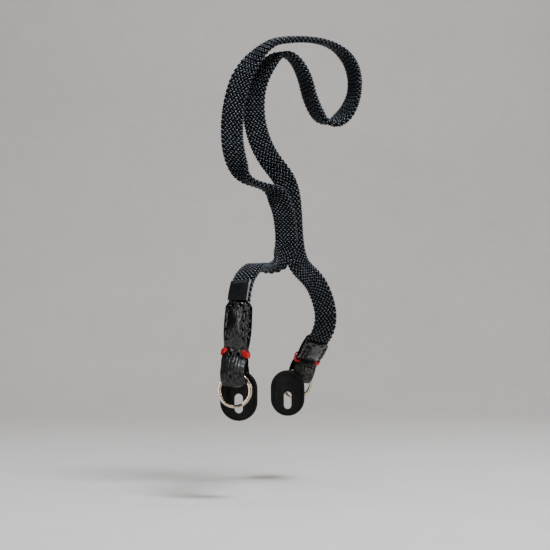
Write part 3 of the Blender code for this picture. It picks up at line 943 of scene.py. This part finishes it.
def far_frames():
    """The far ring's frame, at its top wire, and the frame of the far tab's head."""
    seat = Vector((0, LUG_SPAN, 0))
    rises = turned(FAR_RING_RISES).normalized()
    ring = frame_at(seat + LOOP_HEIGHT * rises, turned(FAR_RING_ACROSS), rises)
    head = frame_at(turned(FAR_HEAD) * MM, turned(FAR_HEAD_ACROSS), turned(FAR_HEAD_RISES))
    return ring, head


class Look:
    """A material's node tree, with short ways to add nodes to it."""

    def __init__(self, name, **sockets):
        self.made = bpy.data.materials.new(name)
        self.made.use_nodes = True
        self.tree = self.made.node_tree
        self.shader = self.tree.nodes["Principled BSDF"]
        for socket, value in sockets.items():
            self.shader.inputs[socket.replace("_", " ")].default_value = value

    def add(self, kind, out=0, inputs=None, **settings):
        """Adds a node, with its inputs set or linked by name or number, and gives one output."""
        node = self.tree.nodes.new("ShaderNode" + kind)
        for name, value in settings.items():
            setattr(node, name, value)
        for name, value in (inputs or {}).items():
            if isinstance(value, bpy.types.NodeSocket):
                self.tree.links.new(value, node.inputs[name])
            else:
                node.inputs[name].default_value = value
        return node.outputs[out]

    def math(self, operation, a, b=0.0, c=None):
        inputs = {0: a, 1: b}
        if c is not None:
            inputs[2] = c
        return self.add("Math", inputs=inputs, operation=operation)

    def place(self):
        return self.add("TexCoord", out="Object")

    def uv(self, layer):
        return self.add("UVMap", uv_map=layer)

    def stretched(self, vector, scale):
        return self.add("Mapping", inputs={"Vector": vector, "Scale": scale})

    def noise(self, vector, scale, detail=3.0, rough=0.55):
        inputs = {"Vector": vector, "Scale": scale, "Detail": detail, "Roughness": rough}
        return self.add("TexNoise", inputs=inputs)

    def ramp(self, value, stops):
        """Colours by value, from (place, colour) stops."""
        node = self.tree.nodes.new("ShaderNodeValToRGB")
        self.tree.links.new(value, node.inputs[0])
        while len(node.color_ramp.elements) < len(stops):
            node.color_ramp.elements.new(0.5)
        for element, (at, colour) in zip(node.color_ramp.elements, stops):
            element.position = at
            element.color = (*colour, 1)
        return node.outputs[0]

    def spread(self, value, low, high):
        return self.add("MapRange", inputs={"Value": value, "To Min": low, "To Max": high})

    def bump(self, height, strength, distance):
        inputs = {"Height": height, "Strength": strength, "Distance": distance}
        return self.add("Bump", inputs=inputs)

    def into(self, socket, value):
        self.tree.links.new(value, self.shader.inputs[socket])


def braid_look():
    look = Look("black_yarn", Specular_IOR_Level=0.25)
    yarn = look.uv("yarn")
    own = look.uv("own")
    shifted = look.add(
        "VectorMath", operation="MULTIPLY_ADD", inputs={0: own, 1: (37.0, 53.0, 0), 2: yarn}
    )
    fibres = look.noise(look.stretched(shifted, (2.5, 16.0, 1.0)), 1.0, 2.0, 0.6)
    tone = look.add("SeparateXYZ", inputs={0: own})
    where = look.add("SeparateXYZ", inputs={0: yarn}).node
    # painted light and shade: a yarn's colour is lighter along its crest, as a painted highlight, and
    # darker along its sides, its underside and where it dives, as painted shade
    crest = look.math("SINE", look.math("MULTIPLY", where.outputs[1], 2 * math.pi))
    middle = look.math("SINE", look.math("MULTIPLY", where.outputs[0], math.pi))
    crest = look.math("POWER", look.math("MAXIMUM", crest, 0.0), 1.4)
    painted_crest_light = look.math("MULTIPLY", crest, look.math("POWER", middle, 0.5))
    mixed = look.math("MULTIPLY_ADD", fibres, 0.5, look.math("MULTIPLY", tone, 0.3))
    mixed = look.math("MULTIPLY", look.math("ADD", mixed, 0.35), painted_crest_light)
    look.into("Base Color", look.ramp(mixed, (
        (0.1, (0.0012, 0.0014, 0.002)),
        (0.45, (0.0075, 0.009, 0.0125)),
        (0.85, (0.078, 0.092, 0.115)),
    )))
    # less reflection along the yarn's sides and where it dives, as painted shade
    look.into("Specular IOR Level", look.spread(painted_crest_light, 0.02, 0.5))
    look.into("Roughness", look.spread(fibres, 0.24, 0.42))
    look.into("Normal", look.bump(fibres, 0.55, 0.00012))
    return look.made


def core_look():
    look = Look("dark_core", Specular_IOR_Level=0.05)
    place = look.place()
    spots = look.noise(place, 900.0, 3.0)
    look.into("Base Color", look.ramp(spots, (
        (0.3, (0.0015, 0.0015, 0.002)),
        (0.7, (0.005, 0.0055, 0.007)),
    )))
    look.into("Roughness", look.spread(spots, 0.75, 0.95))
    look.into("Normal", look.bump(spots, 0.6, 0.0002))
    return look.made


def leather_look(name, shine, smooth, rough):
    """Black leather with a grain, with painted shade in its stitch holes, and duller where it is
    creased.
    """
    look = Look(name, Specular_IOR_Level=0.6 * shine)
    hole_shade = look.add("SeparateXYZ", inputs={0: look.uv("hole_shade_and_crease")})
    creased = hole_shade.node.outputs[1]
    place = look.place()
    warped = look.add("VectorMath", operation="MULTIPLY_ADD", inputs={
        0: look.add("TexNoise", out="Color", inputs={"Vector": place, "Scale": 420.0, "Detail": 2.0}),
        1: (0.0007, 0.0007, 0.0007),
        2: place,
    })
    inputs = {"Vector": warped, "Scale": 1150.0}
    cells = look.add("TexVoronoi", feature="DISTANCE_TO_EDGE", inputs=inputs)
    grain = look.math("MINIMUM", look.math("MULTIPLY", cells, 3.2), 1.0)
    fine = look.noise(place, 2600.0, 3.0, 0.6)
    broad = look.noise(place, 160.0, 3.0, 0.5)
    # shallow wrinkles, longer along the strip than across it
    streaks = look.noise(look.stretched(look.uv("strip"), (0.9, 0.45, 1.0)), 1.0, 3.0, 0.5)
    height = look.math("MULTIPLY_ADD", streaks, 5.0, look.math("MULTIPLY", grain, 0.22))
    height = look.math("MULTIPLY_ADD", fine, 0.08, height)
    tone = look.math("MULTIPLY_ADD", broad, 0.7, look.math("MULTIPLY", grain, 0.3))
    # the stitch holes are painted near black and lose their reflection, as painted shade
    look.into("Base Color", look.ramp(look.math("SUBTRACT", tone, hole_shade), (
        (0.0, (0.0004, 0.0004, 0.0004)),
        (0.2, (0.0022, 0.0021, 0.0021)),
        (0.55, (0.0065, 0.0063, 0.006)),
        (0.85, (0.018, 0.017, 0.016)),
    )))
    # the gloss is worn in blotches
    worn = look.math("MAXIMUM", look.math("MULTIPLY_ADD", streaks, 3.6, -1.0), 0.12)
    glint = look.math("MULTIPLY", look.spread(hole_shade, shine, 0.0), worn)
    look.into("Specular IOR Level", look.math("MULTIPLY", glint, look.spread(creased, 1.0, 0.7)))
    look.into("Roughness", look.math("MULTIPLY_ADD", creased, 0.2, look.spread(broad, smooth, rough)))
    look.into("Normal", look.bump(height, 0.5, 0.00008))
    return look.made


def thread_look(name, stops, roughness):
    look = Look(name, Specular_IOR_Level=0.25)
    where = look.add("SeparateXYZ", inputs={0: look.uv("thread")}).node
    twist = look.math("MULTIPLY_ADD", where.outputs[0], 1.1, where.outputs[1])
    ply = look.math("ABSOLUTE", look.math("SINE", look.math("MULTIPLY", twist, 3 * math.pi)))
    spots = look.noise(look.place(), 1500.0, 2.0)
    # the grooves between the plies are painted darker, as painted shade, over a tone that differs at
    # random
    tone = look.math("MULTIPLY_ADD", spots, 0.5, look.math("MULTIPLY", ply, 0.5))
    look.into("Base Color", look.ramp(tone, stops))
    look.into("Roughness", look.spread(spots, roughness - 0.08, roughness + 0.12))
    look.into("Normal", look.bump(ply, 0.6, 0.00015))
    return look.made


def steel_look():
    look = Look("bright_steel", Metallic=1.0)
    wire = look.uv("wire")
    brushed = look.noise(look.stretched(wire, (0.6, 30.0, 1.0)), 2.0, 4.0, 0.6)
    smudge = look.noise(look.place(), 320.0, 3.0)
    look.into("Base Color", look.ramp(smudge, (
        (0.3, (0.42, 0.33, 0.25)),
        (0.7, (0.62, 0.51, 0.4)),
    )))
    dull = look.math("MULTIPLY_ADD", brushed, 0.5, look.math("MULTIPLY", smudge, 0.5))
    look.into("Roughness", look.spread(dull, 0.1, 0.34))
    look.into("Normal", look.bump(brushed, 0.08, 0.00005))
    return look.made


def patch_look():
    look = Look("satin_patch", Specular_IOR_Level=0.35)
    place = look.place()
    fine = look.noise(place, 3200.0, 3.0, 0.6)
    broad = look.noise(place, 240.0, 3.0)
    # a thin pale line along the patch's two side edges is a painted highlight
    across = look.add("SeparateXYZ", inputs={0: look.uv("strip")})
    middle = (LABEL_LEFT + LABEL_RIGHT) / 2 / MM
    inside = ((LABEL_RIGHT - LABEL_LEFT) / 2 - LABEL_EDGE_HIGHLIGHT) / MM
    off_middle = look.math("ABSOLUTE", look.math("SUBTRACT", across, middle))
    edge_highlight = look.math("GREATER_THAN", off_middle, inside)
    tone = look.math("MULTIPLY_ADD", edge_highlight, 0.5, look.math("MULTIPLY", broad, 0.5))
    look.into("Base Color", look.ramp(tone, (
        (0.15, (0.004, 0.004, 0.0045)),
        (0.35, (0.0095, 0.0095, 0.0105)),
        (0.55, (0.0095, 0.0095, 0.0105)),
        (0.65, (0.16, 0.165, 0.175)),
    )))
    look.into("Roughness", look.spread(broad, 0.22, 0.34))
    look.into("Normal", look.bump(fine, 0.25, 0.00004))
    return look.made


def floor_look():
    look = Look("pale_floor", Specular_IOR_Level=0.2)
    place = look.place()
    broad = look.noise(place, 2.2, 4.0, 0.55)
    fine = look.noise(place, 60.0, 4.0, 0.6)
    tone = look.math("MULTIPLY_ADD", fine, 0.3, look.math("MULTIPLY", broad, 0.7))
    look.into("Base Color", look.ramp(tone, (
        (0.3, (0.49, 0.465, 0.45)),
        (0.7, (0.58, 0.555, 0.535)),
    )))
    look.into("Roughness", look.spread(fine, 0.7, 0.9))
    return look.made


def studio_floor(look):
    """A pale floor that curves up into a wall behind the object."""
    profile = [(FLOOR_NEAR_END, 0.0), (FLOOR_FAR_END, 0.0)]
    for k in range(1, CURVE_STEPS + 1):
        turn = math.pi / 2 * k / CURVE_STEPS
        away = FLOOR_FAR_END + WALL_CURVE * math.sin(turn)
        profile.append((away, WALL_CURVE * (1 - math.cos(turn))))
    profile.append((FLOOR_FAR_END + WALL_CURVE, WALL_TOP))
    verts = []
    for away, up in profile:
        for side in np.linspace(-FLOOR_HALF_WIDTH, FLOOR_HALF_WIDTH, FLOOR_COLUMNS):
            verts.append(tuple(turned((side, away, up - FLOOR_DROP))))
    faces = []
    for k in range(len(profile) - 1):
        low = k * FLOOR_COLUMNS
        high = low + FLOOR_COLUMNS
        for j in range(FLOOR_COLUMNS - 1):
            faces.append((low + j, low + j + 1, high + j + 1, high + j))
    mesh = bpy.data.meshes.new("studio_floor")
    mesh.from_pydata(verts, [], faces)
    mesh.shade_smooth()
    mesh.materials.append(look)
    floor = bpy.data.objects.new("studio_floor", mesh)
    bpy.context.scene.collection.objects.link(floor)


def area_light(name, place, target, size, power, colour):
    data = bpy.data.lights.new(name, "AREA")
    data.shape = "RECTANGLE"
    data.size, data.size_y = size
    data.energy = power
    data.color = colour
    light = bpy.data.objects.new(name, data)
    bpy.context.scene.collection.objects.link(light)
    light.location = turned(place)
    aim = turned(target) - light.location
    light.rotation_euler = aim.to_track_quat("-Z", "Y").to_euler()


def studio_light():
    for row in LIGHTS:
        area_light(*row)
    world = bpy.data.worlds.new("studio")
    bpy.context.scene.world = world
    world.use_nodes = True
    sky = world.node_tree.nodes["Background"]
    sky.inputs[0].default_value = SKY_COLOUR
    sky.inputs[1].default_value = SKY_STRENGTH


def strap():
    core = rope_core(core_look())
    yarn = braid_look()
    cuts = np.array([BRAID_MARGIN, *BRAID_CUTS, ROPE_LENGTH / MM - BRAID_MARGIN]) * MM
    names = ("near_leg", "left_strand", "inner_peak", "far_leg")
    spans = zip(names, cuts, cuts[1:])
    yarns = [braid(f"braid_{name}", low, high, yarn) for name, low, high in spans]
    tuple(ROPE[0][0])
    leather = leather_look("tab_leather", 0.62, 0.13, 0.27)
    pad_leather = leather_look("pad_leather", 0.16, 0.4, 0.6)
    thread = thread_look("red_waxed_thread", (
        (0.3, (0.14, 0.0, 0.001)), (0.55, (0.42, 0.0, 0.003)), (0.8, (0.6, 0.001, 0.006)),
    ), 0.42)
    dark = thread_look("black_thread", (
        (0.25, (0.012, 0.012, 0.012)), (0.5, (0.04, 0.039, 0.038)), (0.8, (0.09, 0.086, 0.082)),
    ), 0.4)
    steel = steel_look()
    label(patch_look())
    for end, (ring, head) in (("near", near_frames()), ("far", far_frames())):
        placed = tab_shape(ring, head)
        leather_tab(f"{end}_tab", placed, leather, f"{end}_leather")
        stitches(f"{end}_stitches", placed, dark)
        whipping(f"{end}_thread_left", placed, -1, thread, f"{end}_whipping_left")
        whipping(f"{end}_thread_right", placed, 1, thread, f"{end}_whipping_right")
        split_ring(f"{end}_ring_wire", ring, steel, f"{end}_ring", f"{end}_split_ring")
    pad("near_pad_leather", Vector((0, LOOP_OUTER + GAP, NEAR_PAD_HEIGHT)), pad_leather, "near_pad")
    pad("far_pad_leather", Vector((0, FAR_PAD_FACE - PAD_THICK, FAR_PAD_HEIGHT)), pad_leather, "far_pad")


photo_camera()
strap()
studio_floor(floor_look())
studio_light()
